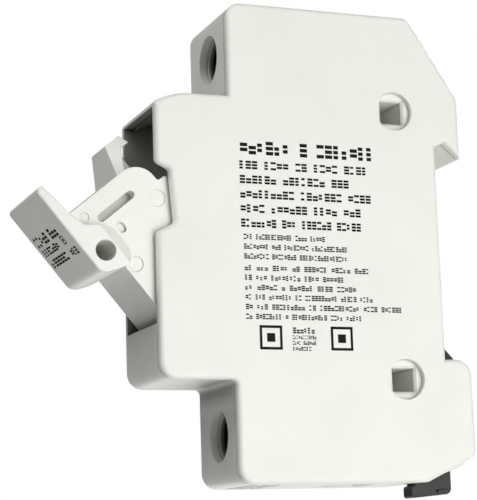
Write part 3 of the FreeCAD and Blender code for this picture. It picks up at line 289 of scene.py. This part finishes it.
# Colour, colour where dull, roughness, and how the drawn streaks are squeezed along each axis
METALS = {
    "tinned_copper": ((0.72, 0.69, 0.64, 1), (0.5, 0.46, 0.4, 1), 0.35, (1, 1, 12)),
    "zinc_steel": ((0.62, 0.61, 0.57, 1), (0.4, 0.39, 0.36, 1), 0.34),
    "spring_steel": ((0.5, 0.5, 0.5, 1), (0.32, 0.32, 0.32, 1), 0.28, (1, 1, 8)),
    "brass": ((0.75, 0.58, 0.28, 1), (0.5, 0.37, 0.16, 1), 0.32),
}
materials = {name: moulded_plastic(name, *look) for name, look in PLASTICS.items()}
materials.update({name: plated_metal(name, *look) for name, look in METALS.items()})
print_ink = printed_ink("print_ink")

for part in frame["record"]["subparts"]:
    mesh = nodes[part["node"]].data
    mesh.materials.clear()
    mesh.materials.append(materials[part["material_slot"]])


# ---------------------------------------------------------------- clip spring


def make_clip_spring():
    """The coil that returns the rail clip, copied from the CAD spring into an object of its own; the CAD spring is
    hidden.
    """
    spring = nodes["din_clip_spring"]
    coil = bpy.data.objects.new("clip_return_coil", spring.data.copy())
    bpy.context.scene.collection.objects.link(coil)
    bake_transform(coil)
    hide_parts("din_clip_spring")


make_clip_spring()


# ---------------------------------------------------------------- prints


# A bar's corners run round its sunk face, 0 to 3, and then round its proud face, 4 to 7
BAR_FACES = ((3, 2, 1, 0), (4, 5, 6, 7), (0, 1, 5, 4), (1, 2, 6, 5), (2, 3, 7, 6), (3, 0, 4, 7))

# Marks: a bar's thickness and the places of the bars, as shares of the mark's height, a mark's
# width as a share of the room it has, and that room as a share of the pitch
BAR_THICK = 0.26
BAR_LEVELS = ((0, 0.37, 0.74), (0, 0.37, 0.74), (0, 0.74), (0, 0.37), (0.2, 0.57))
MARK_WIDTHS = (1.0, 1.0, 0.65)
MARK_ROOM = 0.86

# Half side of a badge's solid middle, as a share of the badge's own
BADGE_CORE = 0.36


class Print:
    """Generic pad print made of thin closed bars; place(across, up, out) maps it onto a face."""

    def __init__(self, place):
        self.place = place
        self.points = []
        self.faces = []

    def bar(self, left, right, low, high):
        first = len(self.points)
        for out in (-INK_SUNK, INK_PROUD):
            for across, up in ((left, low), (right, low), (right, high), (left, high)):
                self.points.append(self.place(across, up, out))
        for corners in BAR_FACES:
            self.faces.append([first + corner for corner in corners])

    def mark(self, left, base, width, height, dice):
        """One stand-in mark: two or three stacked bars of one width, never a letter."""
        thick = height * BAR_THICK
        right = left + width * dice.choice(MARK_WIDTHS)
        for level in dice.choice(BAR_LEVELS):
            low = base + height * level
            self.bar(left, right, low, low + thick)

    def line(self, left, base, length, height, words, dice):
        """A line of words of so many marks each, spread over length."""
        pitch = length / (sum(words) + len(words) - 1)
        at = left
        for count in words:
            for number in range(count):
                self.mark(at + pitch * number, base, pitch * MARK_ROOM, height, dice)
            at += pitch * (count + 1)

    def block(self, left, base, pitch, height, lines, dice):
        """Lines of (length in mm, words), one below the other."""
        for number, (length, words) in enumerate(lines):
            self.line(left, base - pitch * number, length * MM, height, words, dice)

    def badge(self, across, up, half, rim):
        """A plain square frame round a small solid square."""
        inner = half - rim
        self.bar(across - half, across + half, up - half, up - inner)
        self.bar(across - half, across + half, up + inner, up + half)
        self.bar(across - half, across - inner, up - inner, up + inner)
        self.bar(across + inner, across + half, up - inner, up + inner)
        core = half * BADGE_CORE
        self.bar(across - core, across + core, up - core, up + core)

    def finish(self, name, body):
        mesh = bpy.data.meshes.new(name)
        mesh.from_pydata(self.points, [], self.faces)
        mesh.materials.append(print_ink)
        piece = bpy.data.objects.new(name, mesh)
        bpy.context.scene.collection.objects.link(piece)
        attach(piece, body)


side_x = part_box("side_cover")[1].x


def on_side(across, up, out):
    """A point of the cover's outer face: across runs to the rear."""
    return Vector((side_x + out, across, up))


def make_side_print():
    dice = random.Random(11)
    made = Print(on_side)
    left = -34.8 * MM
    note_left = left + 0.35 * MM
    made.line(left + 0.2 * MM, 14.25 * MM, 23.4 * MM, 2.2 * MM, (6, 1, 7), dice)
    made.block(left, 11.85 * MM, 2.33 * MM, 1.32 * MM, [
        (22.3, (3, 4, 2, 4, 4)),
        (18.9, (6, 7, 3)),
        (22.7, (9, 7, 4)),
        (20.8, (4, 6, 4, 3)),
        (20.7, (7, 3, 6, 5)),
    ], dice)
    made.block(note_left, 0.6 * MM, 1.55 * MM, 0.84 * MM, [
        (13.9, (3, 12, 4, 5)),
        (17.8, (8, 3, 8, 12)),
        (17.7, (8, 8, 16)),
    ], dice)
    made.block(note_left, -4.33 * MM, 1.53 * MM, 0.84 * MM, [
        (21.5, (2, 3, 4, 2, 6, 5, 4)),
        (17.0, (2, 3, 8, 4, 6)),
        (19.0, (2, 5, 1, 6, 4, 5)),
        (21.8, (2, 3, 7, 2, 10, 5, 4)),
        (27.0, (2, 3, 9, 2, 11, 4, 6)),
        (19.8, (2, 8, 1, 11, 4, 5)),
    ], dice)
    for across in (-30.4, -18.35):
        made.badge(across * MM, -14.8 * MM, 1.9 * MM, 0.42 * MM)
    made.line(-26.7 * MM, -14.1 * MM, 3.8 * MM, 0.95 * MM, (6,), dice)
    made.block(-26.8 * MM, -15.0 * MM, 0.9 * MM, 0.6 * MM, [(4.1, (12,)), (4.0, (4, 6)), (3.2, (7,))], dice)
    made.finish("side_print", "housing")


hinge = next(joint for joint in frame["joints"] if joint["name"] == "carrier_hinge")
hinge_place = Vector(hinge["pos_m"])
open_turn = Matrix.Rotation(-math.radians(hinge["range_deg"][0]), 3, "X")
grip_out = open_turn @ Vector((0, -1, 0))
grip_reach = max(vertex.co.dot(grip_out) for vertex in nodes["fuse_carrier"].data.vertices)


def on_grip(across, up, out):
    """A point of the grip's front face: across runs to +X, up is the height when shut."""
    point = hinge_place + open_turn @ (Vector((across, 0, up)) - Vector((0, 0, hinge_place.z)))
    return point + grip_out * (grip_reach + out - point.dot(grip_out))


def make_grip_print():
    dice = random.Random(5)
    made = Print(on_grip)
    made.line(-7.3 * MM, 11.7 * MM, 12.2 * MM, 1.8 * MM, (5, 3), dice)
    made.line(-7.4 * MM, 9.9 * MM, 8.8 * MM, 1.25 * MM, (7,), dice)
    made.line(-7.5 * MM, 7.7 * MM, 9.4 * MM, 1.4 * MM, (6,), dice)
    made.line(3.6 * MM, 7.7 * MM, 3.6 * MM, 1.3 * MM, (3,), dice)
    made.badge(4.4 * MM, 10.7 * MM, 0.75 * MM, 0.22 * MM)
    made.finish("grip_print", "carrier")


make_side_print()
make_grip_print()


# ---------------------------------------------------------------- stage


def make_floor():
    mesh = bpy.data.meshes.new("floor")
    z = cad_low.z - FLOOR_BELOW
    half = FLOOR_SIZE / 2
    corners = [(-half, -half, z), (half, -half, z), (half, half, z), (-half, half, z)]
    mesh.from_pydata(corners, [], [(0, 1, 2, 3)])
    mesh.materials.append(paper_white("floor_paper", value=0.82, seen=0.62))
    floor = bpy.data.objects.new("floor", mesh)
    bpy.context.scene.collection.objects.link(floor)


def make_world(ambient, seen):
    """Soft even light all round; the camera sees plain white."""
    world = bpy.data.worlds.new("studio")
    world.use_nodes = True
    tree = world.node_tree
    tree.nodes.clear()
    light = tree.nodes.new("ShaderNodeBackground")
    light.inputs["Color"].default_value = (0.98, 1.0, 0.97, 1.0)
    light.inputs["Strength"].default_value = ambient
    white = tree.nodes.new("ShaderNodeBackground")
    white.inputs["Color"].default_value = (1, 1, 1, 1)
    white.inputs["Strength"].default_value = seen
    path = tree.nodes.new("ShaderNodeLightPath")
    mix = tree.nodes.new("ShaderNodeMixShader")
    output = tree.nodes.new("ShaderNodeOutputWorld")
    tree.links.new(path.outputs["Is Camera Ray"], mix.inputs["Fac"])
    tree.links.new(light.outputs["Background"], mix.inputs[1])
    tree.links.new(white.outputs["Background"], mix.inputs[2])
    tree.links.new(mix.outputs["Shader"], output.inputs["Surface"])
    bpy.context.scene.world = world


# Name, place from the holder's middle, side in metres, and watts
LIGHTS = (
    ("key", (0.75, 0.12, 0.28), 0.5, 1.45),
    ("key_low", (0.72, 0.25, -0.1), 0.4, 2.1),
    ("front", (0.05, -0.55, 0.55), 0.4, 1.75),
    ("front_high", (0.1, -0.4, 0.7), 0.4, 1.6),
    ("under_near", (0.3, 0.12, -0.22), 0.3, 0.95),
    ("under_far", (-0.22, 0.1, -0.2), 0.25, 0.28),
    ("rear", (-0.6, 0.45, 0.25), 0.4, 3.0),
)


def make_light(name, place, size, power):
    """A square soft box at place from the holder's middle, facing it."""
    middle = (cad_low + cad_high) / 2
    lamp = bpy.data.lights.new(name, "AREA")
    lamp.size = size
    lamp.energy = power
    lamp.color = (1.0, 1.0, 0.985)
    light = bpy.data.objects.new(name, lamp)
    light.location = middle + Vector(place)
    light.rotation_mode = "QUATERNION"
    light.rotation_quaternion = (-Vector(place)).to_track_quat("-Z", "Y")
    bpy.context.scene.collection.objects.link(light)


def make_camera():
    azimuth, elevation = math.radians(CAMERA_AZIMUTH), math.radians(CAMERA_ELEVATION)
    back = Vector((
        math.sin(azimuth) * math.cos(elevation),
        -math.cos(azimuth) * math.cos(elevation),
        math.sin(elevation),
    ))
    right = Vector((math.cos(azimuth), math.sin(azimuth), 0))
    up = back.cross(right)
    level = Matrix((right, up, back)).transposed()
    turn = level @ Matrix.Rotation(math.radians(-CAMERA_ROLL), 3, "Z")
    lens = bpy.data.cameras.new("camera")
    lens.lens = CAMERA_LENS
    lens.sensor_width = 36.0
    lens.clip_start = 0.01
    lens.clip_end = 20.0
    camera = bpy.data.objects.new("camera", lens)
    camera.matrix_world = Matrix.Translation(CAMERA_PLACE) @ turn.to_4x4()
    bpy.context.scene.collection.objects.link(camera)
    bpy.context.scene.camera = camera


make_floor()
make_world(ambient=0.07, seen=1.0)
for name, place, size, power in LIGHTS:
    make_light(name, place, size, power)
make_camera()
# Plain colours, as a catalogue photograph has them
bpy.context.scene.view_settings.view_transform = "Standard"
